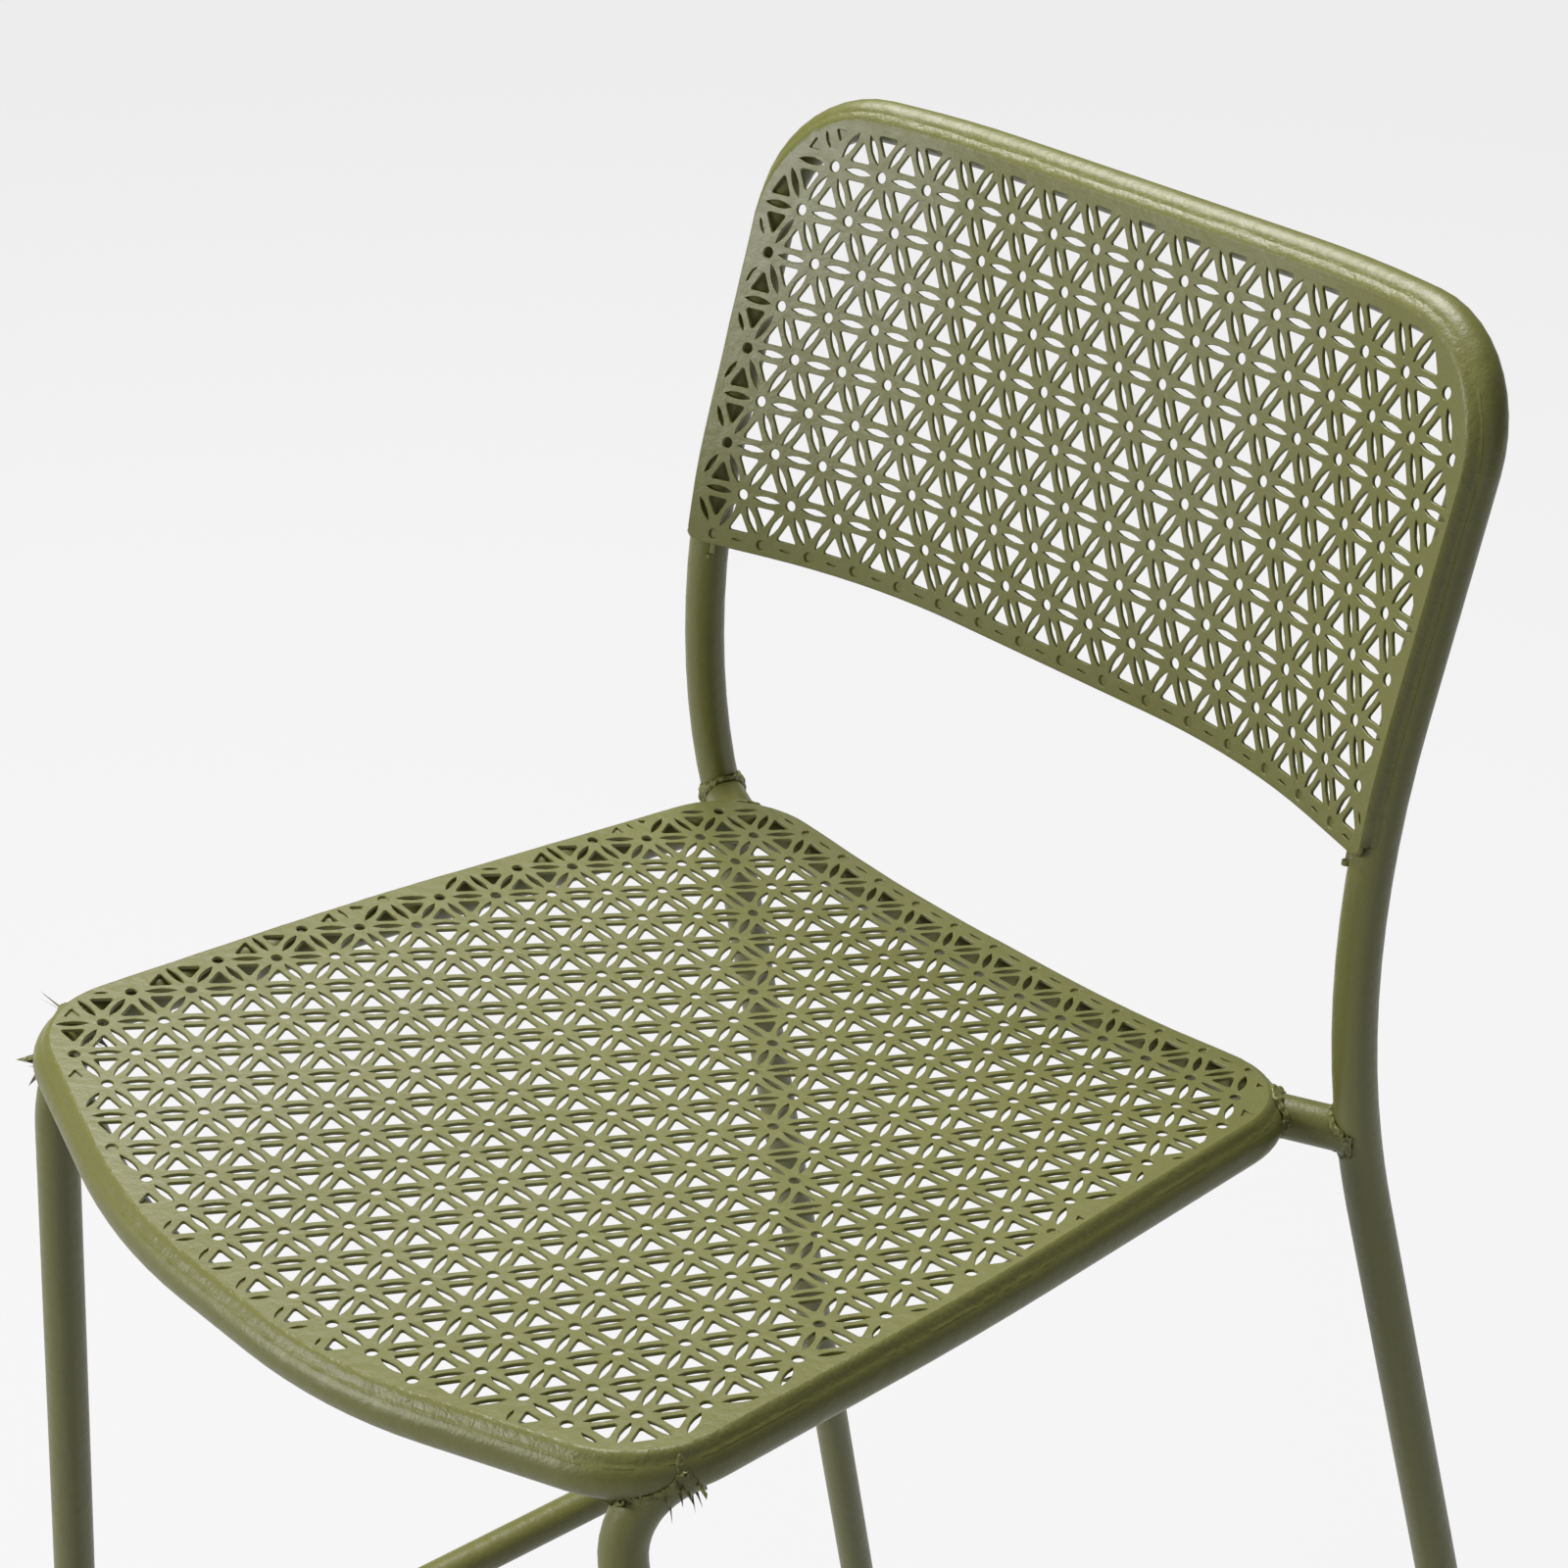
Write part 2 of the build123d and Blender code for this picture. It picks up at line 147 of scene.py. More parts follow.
def powder_coat(name, grain=1.0, ripple=0.0):
    """Satin powder coat. Grain scales its orange peel, and ripple adds the waves of a weld bead."""
    material = bpy.data.materials.new(name)
    material.use_nodes = True
    tree = material.node_tree
    shader = tree.nodes["Principled BSDF"]
    place = Flow(tree, tree.nodes.new("ShaderNodeTexCoord").outputs["Object"])
    peel = noise_in(tree, place, 900.0, 2.0, 0.55)
    flow = noise_in(tree, place, 170.0, 2.0, 0.5)
    cloud = noise_in(tree, place, 9.0, 3.0, 0.6)
    speck = add(tree, "ShaderNodeTexVoronoi", {}, {"Vector": place, "Scale": 240.0})[0]
    dust = (speck < 0.06) * (cloud > 0.56)
    tone = mixed(tree, cloud, [c * 0.90 for c in coat_green], [c * 1.12 for c in coat_green])
    tone = mixed(tree, dust * 0.30, tone, (0.42, 0.42, 0.33))
    tree.links.new(tone.socket, shader.inputs["Base Color"])
    rough = 0.40 + (cloud - 0.5) * 0.16 + (flow - 0.5) * 0.14 + dust * 0.15
    tree.links.new(rough.socket, shader.inputs["Roughness"])
    shader.inputs["Specular IOR Level"].default_value = 0.5
    height = peel * (0.45 * grain) + flow * (1.6 * grain)
    if ripple:
        values = {"Vector": place, "Scale": 330.0, "Detail": 1.0, "Distortion": 0.6}
        wave = add(tree, "ShaderNodeTexNoise", {}, values)[0]
        height = height + wave * ripple
    bump = add(tree, "ShaderNodeBump", {}, {"Strength": 0.5, "Distance": 0.0005, "Height": height})[0]
    tree.links.new(bump.socket, shader.inputs["Normal"])
    return material


def finish_cad(material, slot, *nodes):
    """Gives CAD nodes a finish in their own material slots."""
    for node in nodes:
        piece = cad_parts[node]
        for place in piece.material_slots:
            place.material = material
        if not piece.material_slots:
            piece.data.materials.append(material)


coat = powder_coat("coat_on_tube")
finish_cad(coat, "powder_coat", "back_hoop")

# ---------------------------------------------------------------- the seat ring and its two stubs
# The ring is the same tube bent to the plan of the seat, with its ends butt-welded and ground flush.
# A short coped stub of tube carries each of its rear corners on the uprights.
finish_cad(coat, "powder_coat", "seat_ring", "stub_left", "stub_right")

# ---------------------------------------------------------------- front legs, side stretchers and footrest
# The front legs bend to the rear at the top and run in under the side rails. Straight coped tubes
# tie them to the rear legs and to each other.
finish_cad(coat, "powder_coat", "front_leg_left", "front_leg_right", "side_stretcher_left")
finish_cad(coat, "powder_coat", "side_stretcher_right", "front_footrest")

# ---------------------------------------------------------------- weld beads
# Each joint is welded by hand all round, and the coat lies over the ripples of the bead. The beads
# start as the CAD ones, meshed evenly, lumped and then drawn in between their tubes.
bead_coat = powder_coat("coat_on_beads", grain=1.2, ripple=2.0)


def surface(node):
    """Search tree of the faces of a CAD node."""
    return BVHTree.FromObject(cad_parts[node], bpy.context.evaluated_depsgraph_get())


def hollowed(place, tubes, radius, rounds=4, least_pull=0.05):
    """A place on a bead, drawn in to a hollow fillet of a radius between the two nearest tubes.

    The step has no upper limit. Some places end as thin spikes, up to about 20 mm off the bead, and
    that is a known fault.
    """
    for _ in range(rounds):
        spots = [tube.find_nearest(place)[:2] for tube in tubes]
        found = sorted(((place - spot).dot(normal), tuple(normal)) for spot, normal in spots)[:2]
        left = [radius - min(max(height, 0), radius) for height, normal in found]
        excess = radius**2 - left[0] ** 2 - left[1] ** 2
        pull = Vector(found[0][1]) * left[0] + Vector(found[1][1]) * left[1]
        if excess <= 0 or pull.length < least_pull * radius:
            break
        place = place - pull * (excess / (2 * pull.length_squared))
    return place


def linked(name, mesh):
    """A new object in the scene with a mesh."""
    piece = bpy.data.objects.new(name, mesh)
    bpy.context.scene.collection.objects.link(piece)
    return piece


def hand_bead(name, node, tubes, radius, lump, voxel=0.6 * mm, lump_size=2.6 * mm):
    """The beads of a CAD node with the lumps of a hand weld, drawn in towards their tubes."""
    copied = bmesh.new()
    copied.from_mesh(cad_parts[node].data)
    bmesh.ops.remove_doubles(copied, verts=copied.verts, dist=0.02 * mm)
    mesh = bpy.data.meshes.new(name)
    copied.to_mesh(mesh)
    copied.free()
    piece = linked(name, mesh)
    remesh = piece.modifiers.new("even", "REMESH")
    remesh.mode = "VOXEL"
    remesh.voxel_size = voxel
    even = bpy.data.meshes.new_from_object(piece.evaluated_get(bpy.context.evaluated_depsgraph_get()))
    piece.modifiers.clear()
    trees = [surface(tube) for tube in tubes]
    for point in even.vertices:
        point.co += point.normal * noise.noise(point.co / lump_size) * lump
    for point in even.vertices:
        point.co = hollowed(point.co, trees, radius)
    piece.data = even
    even.materials.append(bead_coat)
    even.polygons.foreach_set("use_smooth", [True] * len(even.polygons))
    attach(piece, "root")
    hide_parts(node)


stubs = ["stub_left", "stub_right"]
legs = ["front_leg_left", "front_leg_right"]
stretchers = ["side_stretcher_left", "side_stretcher_right"]
bead_groups = [("stub", [*stubs, "seat_ring", "back_hoop"], 3.4 * mm, 1.2 * mm),
               ("front_leg", ["seat_ring", *legs], 2.6 * mm, 0.2 * mm),
               ("stretcher", [*stretchers, "back_hoop", *legs], 3.0 * mm, 1.0 * mm),
               ("footrest", ["front_footrest", *legs], 3.0 * mm, 1.0 * mm)]
for joint, tubes, radius, lump in bead_groups:
    hand_bead(joint + "_beads", joint + "_welds", tubes, radius, lump)
finish_cad(bead_coat, "powder_coat", "back_panel_welds")

# ---------------------------------------------------------------- punched sheet, for the seat and the back
# Both panels are 1.5 mm sheet steel, punched flat with round holes on a triangular grid, a pointed slot
# between each pair and a window in each triangle. The coat rounds the edges of the openings, and near
# the border it fills them to shallow dimples.
sheet = 1.5 * mm
edge = 0.42 * mm
hole_radius = 2.5 * mm
slot_length = 14.4 * mm
slot_width = 3.2 * mm
window_side = 10.9 * mm
frame_half = 207.5 * mm
overhang = 3 * mm


def round_hole(grow, count=14):
    """Outline of a round hole, grown outwards by grow."""
    turns = [2 * math.pi * i / count for i in range(count)]
    return [((hole_radius + grow) * math.cos(a), (hole_radius + grow) * math.sin(a)) for a in turns]


def pointed_slot(grow, side_points=5):
    """Outline of a slot between two arcs that meet in points, grown outwards by grow."""
    half, rise = slot_length / 2, slot_width / 2
    along = [math.cos(math.pi * i / (side_points + 1)) for i in range(side_points + 2)]
    upper = [(t * (half + grow), (1 - t * t) * (rise + grow)) for t in along]
    return upper + [(-x, -y) for x, y in upper[1:-1]]


def triangle_window(grow, corner_points=4):
    """Outline of a triangular window with rounded corners, grown outwards by grow."""
    corner = 0.85 * mm
    reach = window_side / math.sqrt(3) - 2 * corner
    points = []
    for side in range(3):
        centre = math.radians(90 + 120 * side)
        for i in range(corner_points):
            turn = centre + math.radians(-60 + 120 * i / (corner_points - 1))
            points.append((reach * math.cos(centre) + (corner + grow) * math.cos(turn),
                           reach * math.sin(centre) + (corner + grow) * math.sin(turn)))
    return points


def strip(name, rings, floor=False, outward=False):
    """Mesh object of closed rings of points joined by quads, with a floor in the last ring if asked."""
    count = len(rings[0])
    faces = []
    for level in range(len(rings) - 1):
        for i in range(count):
            j = (i + 1) % count
            quad = [level * count + i, level * count + j, (level + 1) * count + j, (level + 1) * count + i]
            faces.append(quad[::-1] if outward else quad)
    if floor:
        faces.append([(len(rings) - 1) * count + i for i in range(count)])
    mesh = bpy.data.meshes.new(name)
    mesh.from_pydata([point for ring in rings for point in ring], [], faces)
    return linked(name, mesh)


def opening_edge(name, outline, dimple):
    """Edge of one opening: its rounded lip, and its wall through the sheet or a dimple's floor."""
    levels = [(edge, 0), (edge * 0.29, -edge * 0.29), (0, -edge)]
    levels += [(-0.35 * mm, -1.1 * mm)] if dimple else [(0, -sheet)]
    rings = [[(x, y, z) for x, y in outline(grow)] for grow, z in levels]
    return strip(name, rings, floor=dimple)


openings = {
    shape.__name__: [opening_edge(shape.__name__ + kind, shape, kind == "_dimple")
                     for kind in ("", "_dimple")]
    for shape in (round_hole, pointed_slot, triangle_window)
}


def sheet_punch():
    """Geometry tree that punches a flat sheet: its mesh input is the rounded edge of the sheet."""
    tree = bpy.data.node_groups.new("sheet_punch", "GeometryNodeTree")
    face = tree.interface
    face.new_socket("Edge", in_out="INPUT", socket_type="NodeSocketGeometry")
    for name in ("Pitch", "Row", "Shift", "First Row", "Solid Edge", "Tube Zone", "Thickness"):
        face.new_socket(name, in_out="INPUT", socket_type="NodeSocketFloat")
    for name in ("Columns", "Rows"):
        face.new_socket(name, in_out="INPUT", socket_type="NodeSocketInt")
    face.new_socket("Coat", in_out="INPUT", socket_type="NodeSocketMaterial")
    face.new_socket("Sheet", in_out="OUTPUT", socket_type="NodeSocketGeometry")
    given = {s.name: Flow(tree, s) for s in tree.nodes.new("NodeGroupInput").outputs if s.name}
    pitch, row = given["Pitch"], given["Row"]

    def boundary(shape, level, below):
        """Curves along the open edges of a mesh at one level."""
        count = add(tree, "GeometryNodeInputMeshEdgeNeighbors")[0]
        place = add(tree, "GeometryNodeInputPosition")[0]
        height = add(tree, "ShaderNodeSeparateXYZ", {}, (place,))[2]
        side = (height < level) if below else (height > level)
        chosen = side * (count < 1.5) * (count > 0.5)
        return add(tree, "GeometryNodeMeshToCurve", {}, {"Mesh": shape, "Selection": chosen})[0]

    rim = given["Edge"]
    whole = add(tree, "GeometryNodeFillCurve", {}, (boundary(rim, given["Thickness"] * -0.05, False),))[0]

    index = add(tree, "GeometryNodeInputIndex")[0]
    line = (index / given["Columns"]).math("FLOOR")
    column = index - line * given["Columns"]
    odd = line.math("FLOORED_MODULO", 2.0)
    half_columns = given["Columns"] * 0.5
    x = (column - half_columns.math("FLOOR") + odd * 0.5) * pitch + given["Shift"]
    y = line * row + given["First Row"]

    kept = []
    kinds = [("round_hole", 0, 0, 0, hole_radius)]
    kinds += [("pointed_slot", math.cos(a) / 2, math.sin(a) / math.sqrt(3), a, slot_length / 2)
              for a in (0, math.pi / 3, math.pi * 2 / 3)]
    kinds += [("triangle_window", 0.5, 1 / 3, 0, window_side / math.sqrt(3)),
              ("triangle_window", 1.0, 2 / 3, math.pi, window_side / math.sqrt(3))]
    for shape, step_x, step_y, turn, reach in kinds:
        place = add(tree, "ShaderNodeCombineXYZ", {}, (x + pitch * step_x, y + row * step_y, 0.0))[0]
        values = {"Count": given["Columns"] * given["Rows"], "Position": place}
        points = add(tree, "GeometryNodePoints", {}, values)[0]
        near = add(tree, "GeometryNodeProximity", {"target_element": "EDGES"}, {0: rim})
        distance = [flow for flow in near if flow.socket.name == "Distance"][0]
        above = add(tree, "ShaderNodeVectorMath", {"operation": "ADD"},
                    (add(tree, "GeometryNodeInputPosition")[0], (0, 0, 1)))[0]
        caught = add(tree, "GeometryNodeRaycast", {}, {"Target Geometry": whole, "Source Position": above,
                                                      "Ray Direction": (0, 0, -1), "Ray Length": 2.0})[0]
        share = ((distance - given["Solid Edge"]) / reach).math("MINIMUM", 1.0)
        fits = caught * (share > 0.35)
        size = add(tree, "ShaderNodeCombineXYZ", {}, (share, share, 1.0))[0]
        over_tube = distance < given["Tube Zone"]
        for number, chosen in enumerate((fits * (1 - over_tube), fits * over_tube)):
            tool = add(tree, "GeometryNodeObjectInfo", {}, (openings[shape][number],))
            punched = [flow for flow in tool if flow.socket.name == "Geometry"][0]
            kept.append(add(tree, "GeometryNodeInstanceOnPoints", {},
                            {"Points": points, "Selection": chosen, "Instance": punched,
                             "Rotation": (0.0, 0.0, turn), "Scale": size})[0])

    join = tree.nodes.new("GeometryNodeJoinGeometry")
    for flow in kept:
        tree.links.new(flow.socket, join.inputs[0])
    punches = add(tree, "GeometryNodeRealizeInstances", {}, (Flow(tree, join.outputs[0]),))[0]
    join = tree.nodes.new("GeometryNodeJoinGeometry")
    for flow in (punches, rim):
        tree.links.new(flow.socket, join.inputs[0])
    edges = Flow(tree, join.outputs[0])
    top = add(tree, "GeometryNodeFillCurve", {}, (boundary(edges, given["Thickness"] * -0.05, False),))[0]
    under = add(tree, "GeometryNodeFillCurve", {}, (boundary(edges, given["Thickness"] * -0.95, True),))[0]
    down = add(tree, "ShaderNodeCombineXYZ", {}, (0.0, 0.0, given["Thickness"] * -1))[0]
    under = add(tree, "GeometryNodeTransform", {}, {"Geometry": under, "Translation": down})[0]
    under = add(tree, "GeometryNodeFlipFaces", {}, (under,))[0]
    join = tree.nodes.new("GeometryNodeJoinGeometry")
    for flow in (edges, top, under):
        tree.links.new(flow.socket, join.inputs[0])
    merged = add(tree, "GeometryNodeMergeByDistance", {}, {"Geometry": Flow(tree, join.outputs[0]),
                                                          "Distance": 0.00001})[0]
    solid = add(tree, "GeometryNodeRealizeInstances", {}, (merged,))[0]
    coated = add(tree, "GeometryNodeSetMaterial", {}, {"Geometry": solid, "Material": given["Coat"]})[0]
    out = tree.nodes.new("NodeGroupOutput")
    tree.links.new(coated.socket, out.inputs[0])
    return tree


def rounded(corners, radii, step=3 * mm):
    """Points round a closed outline with tangent arcs at its corners, and outward normals there."""
    points, normals = [], []
    count = len(corners)
    for i in range(count):
        before, here, after = corners[i - 1], corners[i], corners[(i + 1) % count]
        back, ahead = (before - here).normalized(), (after - here).normalized()
        half = (math.pi - back.angle(ahead)) / 2
        centre = here + (back + ahead).normalized() * (radii[i] / math.cos(half))
        start = here + back * radii[i] * math.tan(half)
        first = start - centre
        turn = math.copysign(2 * half, back.x * ahead.y - back.y * ahead.x) * -1
        steps = max(2, int(radii[i] * 2 * half / step) + 1)
        for k in range(steps + 1):
            ray = Matrix.Rotation(turn * k / steps, 2) @ first
            points.append(centre + ray)
            normals.append(ray.normalized())
        end = here + ahead * radii[i] * math.tan(half)
        ahead_half = math.pi - (here - after).angle(corners[(i + 2) % count] - after)
        next_start = after + (here - after).normalized() * radii[(i + 1) % count] * math.tan(ahead_half / 2)
        run = next_start - end
        pieces = int(run.length / (4 * step))
        for k in range(1, pieces):
            points.append(end + run * (k / pieces))
            normals.append(normals[-1])
    return np.array(points), np.array(normals)


def bent(s, flat, slope, radius):
    """Place along and across a strip that is flat in the middle and bends to a slope on each side."""
    angle = np.arctan(slope)
    reach = radius * np.tan(angle / 2)
    start = flat - reach
    past = np.maximum(0, np.abs(s) - start)
    turn = np.minimum(past / radius, angle)
    straight = np.maximum(0, past - radius * angle)
    along = np.minimum(np.abs(s), start) + radius * np.sin(turn) + straight * np.cos(angle)
    rise = radius * (1 - np.cos(turn)) + straight * np.sin(angle)
    return np.copysign(along, s), rise, np.copysign(turn, s)


def unrolled(x, *shape):
    """The place along the flat strip of a place x across the bent one."""
    table = np.linspace(0, 0.4, 2001)
    return np.copysign(np.interp(np.abs(x), bent(table, *shape)[0], table), x)


def punch(name, points, normals, on_tube, sizes, material):
    """Flat punched sheet with the given outline, as a plain mesh object. Where on_tube is 1 its edge
    falls away under the seam that covers it."""
    bare = [(-1.3, 0), (-0.55, -0.14), (-0.05, -0.6), (0, -1.5)]
    covered = [(-1.3, 0), (-1.05, -0.5), (-0.9, -1.0), (-0.8, -1.5)]
    rings = []
    for (bare_grow, bare_z), (grow, z) in zip(bare, covered):
        outward = (bare_grow + (grow - bare_grow) * on_tube) * mm
        height = (bare_z + (z - bare_z) * on_tube) * mm
        rings.append([(*(p + n * o), h) for p, n, o, h in zip(points, normals, outward, height)])
    border = strip(name + "_border", rings, outward=True)
    tree = sheet_punch()
    tool = border.modifiers.new("punch", "NODES")
    tool.node_group = tree
    for item in tree.interface.items_tree:
        if item.in_out == "INPUT" and item.name in sizes:
            tool[item.identifier] = sizes[item.name]
        elif item.name == "Coat":
            tool[item.identifier] = material
    evaluated = border.evaluated_get(bpy.context.evaluated_depsgraph_get())
    piece = linked(name, bpy.data.meshes.new_from_object(evaluated))
    bpy.data.objects.remove(border)
    return piece


def mark_lips(piece):
    """Smooth shading, with a line where the flat of the sheet turns into an edge."""
    flat = bmesh.new()
    flat.from_mesh(piece.data)
    for side in flat.edges:
        level = [abs(face.normal.z) > 0.999 for face in side.link_faces]
        side.smooth = len(set(level)) == 1
    for face in flat.faces:
        face.smooth = True
    flat.to_mesh(piece.data)
    flat.free()


def coordinates(piece):
    """Places of a piece's vertices, one to a row."""
    places = np.zeros(len(piece.data.vertices) * 3)
    piece.data.vertices.foreach_get("co", places)
    return places.reshape(-1, 3)


def leaned(places, seat_height=750 * mm, lean=1.8):
    """Places in the seat's own frame, leaned back and lifted to the height of the seat."""
    turned = places @ np.array(Matrix.Rotation(math.radians(-lean), 3, "X")).T
    return turned + np.array((0, 0, seat_height))


def stand(piece, places, node):
    """Sets a piece made in the seat's own frame where it stands on the chair, for a CAD node."""
    turned = leaned(places) + np.array((0, forward, 0))
    piece.data.vertices.foreach_set("co", turned.astype(np.float32).ravel())
    piece.data.update()
    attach(piece, "root")
    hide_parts(node)


def seam_row(tree, start, end, steps, step=0.85 * mm, lump=0.35 * mm, lump_size=5 * mm, sink=0.15 * mm):
    """Places that walk from a sheet's face, past its edge and down onto a tube."""
    place, ahead = Vector(start), (Vector(end) - Vector(start)).normalized()
    top = tree.find_nearest(place)[3]
    row = [place]
    for k in range(1, steps + 1):
        part = k / steps
        reached = place + ahead * step
        spot = tree.find_nearest(reached)[0]
        swell = noise.noise(reached / lump_size) * lump * math.sin(math.pi * part)
        height = top * (1 - part) ** 2 * (1 + 2 * part) + swell - sink * part
        following = spot + (reached - spot).normalized() * height
        ahead = (following - place).normalized()
        place = following
        row.append(place)
    return row


def seam(name, inner, outer, closed, tube, node, steps=8):
    """Weld metal and coat that run from a sheet's edge onto the tube under it, from points on the
    sheet's face just inside its edge and points at the edge."""
    tree = surface(tube)
    rows = [seam_row(tree, start, end, steps) for start, end in zip(inner, outer)]
    count, across = len(rows), steps + 1
    pairs = [(i, (i + 1) % count) for i in range(count if closed else count - 1)]
    faces = []
    for i, j in pairs:
        here, beside = i * across, j * across
        faces += [(here + k, here + k + 1, beside + k + 1, beside + k) for k in range(steps)]
    places = [place for row in rows for place in row]
    under = len(places)
    places += [place for row in rows for place in (row[-1], row[0])]
    for i, j in pairs:
        faces.append((under + 2 * i, under + 2 * i + 1, under + 2 * j + 1, under + 2 * j))
    if not closed:
        faces += [tuple(reversed(range(across))), tuple(range((count - 1) * across, count * across))]
    mesh = bpy.data.meshes.new(name)
    mesh.from_pydata(places, [], faces)
    mesh.polygons.foreach_set("use_smooth", [len(f) == 4 for f in faces])
    mesh.materials.append(seam_coat)
    piece = linked(name, mesh)
    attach(piece, "root")
    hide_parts(node)


seam_coat = powder_coat("coat_on_seam", grain=1.0, ripple=1.2)

# ---------------------------------------------------------------- the seat panel
# The seat lies on the ring and is dished from side to side. A seam of weld metal and coat runs from
# its edge onto the ring.
sheet_coat = powder_coat("coat_on_sheet", grain=0.8)
dish_flat, dish_slope, dish_radius = 70 * mm, 0.095, 980 * mm
dish = (dish_flat, dish_slope, dish_radius)
front_y = -195 * mm
rear_y = 228.5 * mm
rear_corner_inset = 28 * mm
side_turn_inset = 6.8 * mm
side_turn_y = 10 * mm
front_rail_bow = 41.5 * mm
rear_radius, side_radius, front_radius = 44 * mm, 1600 * mm, 42 * mm
corners = [(frame_half - rear_corner_inset, rear_y), (frame_half - side_turn_inset, side_turn_y)]
corners += [(frame_half, front_y + front_rail_bow), (dish_flat, front_y)]
corners = [Vector(p) for p in corners] + [Vector((-x, y)) for x, y in reversed(corners)]
dish_reach = dish_radius * math.tan(math.atan(dish_slope) / 2)
front_turn = (corners[2] - corners[3]).angle(Vector((-1, 0)))
radii = [rear_radius, side_radius, front_radius, dish_reach / math.tan((math.pi - front_turn) / 2)]
points, normals = rounded(corners, radii + radii[::-1])
points = points + normals * overhang
points[:, 0] = unrolled(points[:, 0], *dish)
pitch = 26 * mm
row_height = math.sqrt(0.75)
border_sizes = {"Solid Edge": 1.0 * mm, "Tube Zone": 5.5 * mm, "Thickness": sheet}
seat_sizes = {"Pitch": pitch, "Row": pitch * row_height, "First Row": -10 * pitch * row_height,
              "Shift": -2.6 * mm, "Columns": 22, "Rows": 22, **border_sizes}
seat = punch("seat_sheet", points, normals, np.ones(len(points)), seat_sizes, sheet_coat)
mark_lips(seat)


def seat_place(flat):
    """Places on the dished seat, from places along, across and above the flat sheet."""
    along, rise, turn = bent(flat[:, 0], *dish)
    return np.stack([along - flat[:, 2] * np.sin(turn), flat[:, 1], rise + flat[:, 2] * np.cos(turn)], 1)


def on_edge(points, normals, grow):
    """Places on a flat sheet's top face at a distance outside its outline."""
    return np.column_stack([points + normals * grow, np.full(len(points), 0.02 * mm)])


seat_places = seat_place(coordinates(seat))
low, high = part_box("seat_panel")
depths = leaned(seat_places)[:, 1]
forward = (low.y + high.y - depths.min() - depths.max()) / 2
stand(seat, seat_places, "seat_panel")
inner, outer = [leaned(seat_place(on_edge(points, normals, grow * mm))) + (0, forward, 0)
                for grow in (-1.3, 0)]
seam("seat_seam", inner, outer, True, "seat_ring", "seat_panel")

# ---------------------------------------------------------------- the back panel
# The back lies on the front of the hoop and is bowed to the rear between the uprights. Its lower edge
# is folded back on itself for a blunt hem.
hoop_top = 339.5 * mm
panel_bottom = 137 * mm
back_lean = math.radians(15.7)
leg_lean = math.radians(15.0)
bend_z = 95 * mm
bend_radius = 370 * mm
set_back = 6 * mm
tube_radius = 9.5 * mm
coat_gap = 0.3 * mm
panel_flat = 117 * mm
panel_radius = 330 * mm
bottom_bow, top_bow = 32, 17


def back_slope(z):
    """Slope of the back panel's sides at a height, past its flat middle."""
    share = (z - panel_bottom) / (hoop_top - panel_bottom)
    return (bottom_bow + (top_bow - bottom_bow) * share) * mm / (frame_half - panel_flat)


def upright(z):
    """Depth of the uprights' centreline."""
    start = rear_y + set_back - bend_z * math.tan(leg_lean)
    line = start + (z - bend_z) * math.tan(back_lean)
    reach = bend_radius * math.tan((back_lean + leg_lean) / 2)
    arc_z = bend_z + reach * math.cos(back_lean)
    centre_y = start + (arc_z - bend_z) * math.tan(back_lean) + bend_radius * math.cos(back_lean)
    centre_z = arc_z - bend_radius * math.sin(back_lean)
    arc = centre_y - np.sqrt(bend_radius**2 - (np.minimum(z, arc_z) - centre_z) ** 2)
    return np.where(z >= arc_z, line, arc)


def back_surface(s, z):
    """Point of the back panel's front face, s along it and z up."""
    slope = back_slope(z)
    stretch = np.sqrt(1 + slope**2 + math.tan(back_lean) ** 2)
    x, sag, _ = bent(s, panel_flat, slope, panel_radius)
    side = upright(z) - (tube_radius + coat_gap + sheet) * stretch
    return np.stack([x, side + slope * (frame_half - panel_flat) - sag, z], -1)


def back_place(s, z, height):
    """Point at a height in front of the back panel's front face."""
    step = 0.2 * mm
    here = back_surface(s, z)
    across = back_surface(s + step, z) - back_surface(s - step, z)
    up = back_surface(s, z + step) - back_surface(s, z - step)
    normal = np.cross(across, up)
    normal /= np.linalg.norm(normal, axis=-1)[..., None]
    return here + normal * height[..., None]


side = frame_half + overhang
corners = [Vector((side, panel_bottom)), Vector((side, hoop_top + overhang))]
corners += [Vector((-p.x, p.y)) for p in reversed(corners)]
lower_radius, upper_radius = 6 * mm, 55 * mm
points, normals = rounded(corners, [lower_radius, upper_radius, upper_radius, lower_radius])
points[:, 0] = [unrolled(x, panel_flat, back_slope(z), panel_radius) for x, z in points]
middle_slope = math.tan(back_lean) - (bottom_bow - top_bow) * mm / (hoop_top - panel_bottom)
row = pitch * row_height / math.hypot(1, middle_slope)
middle_row = 252.6 * mm
back_sizes = {"Pitch": pitch, "Row": row, "First Row": middle_row - 6 * row,
              "Shift": -4.9 * mm, "Columns": 22, "Rows": 12, **border_sizes}
on_tube = np.clip((points[:, 1] - panel_bottom - 2 * mm) / (4 * mm), 0, 1) * (normals[:, 1] > -0.3)
back = punch("back_sheet", points, normals, on_tube, back_sizes, sheet_coat)
mark_lips(back)
flat = coordinates(back)
stand(back, back_place(flat[:, 0], flat[:, 1], flat[:, 2]), "back_panel")
first = int(np.argmax((on_tube > 0.5) & (np.roll(on_tube, 1) <= 0.5)))
run = [(first + i) % len(points) for i in range(int((on_tube > 0.5).sum()))]
inner, outer = [leaned(back_place(*on_edge(points[run], normals[run], grow * mm).T)) + (0, forward, 0)
                for grow in (-1.3, 0)]
seam("back_seam", inner, outer, False, "back_hoop", "back_panel")

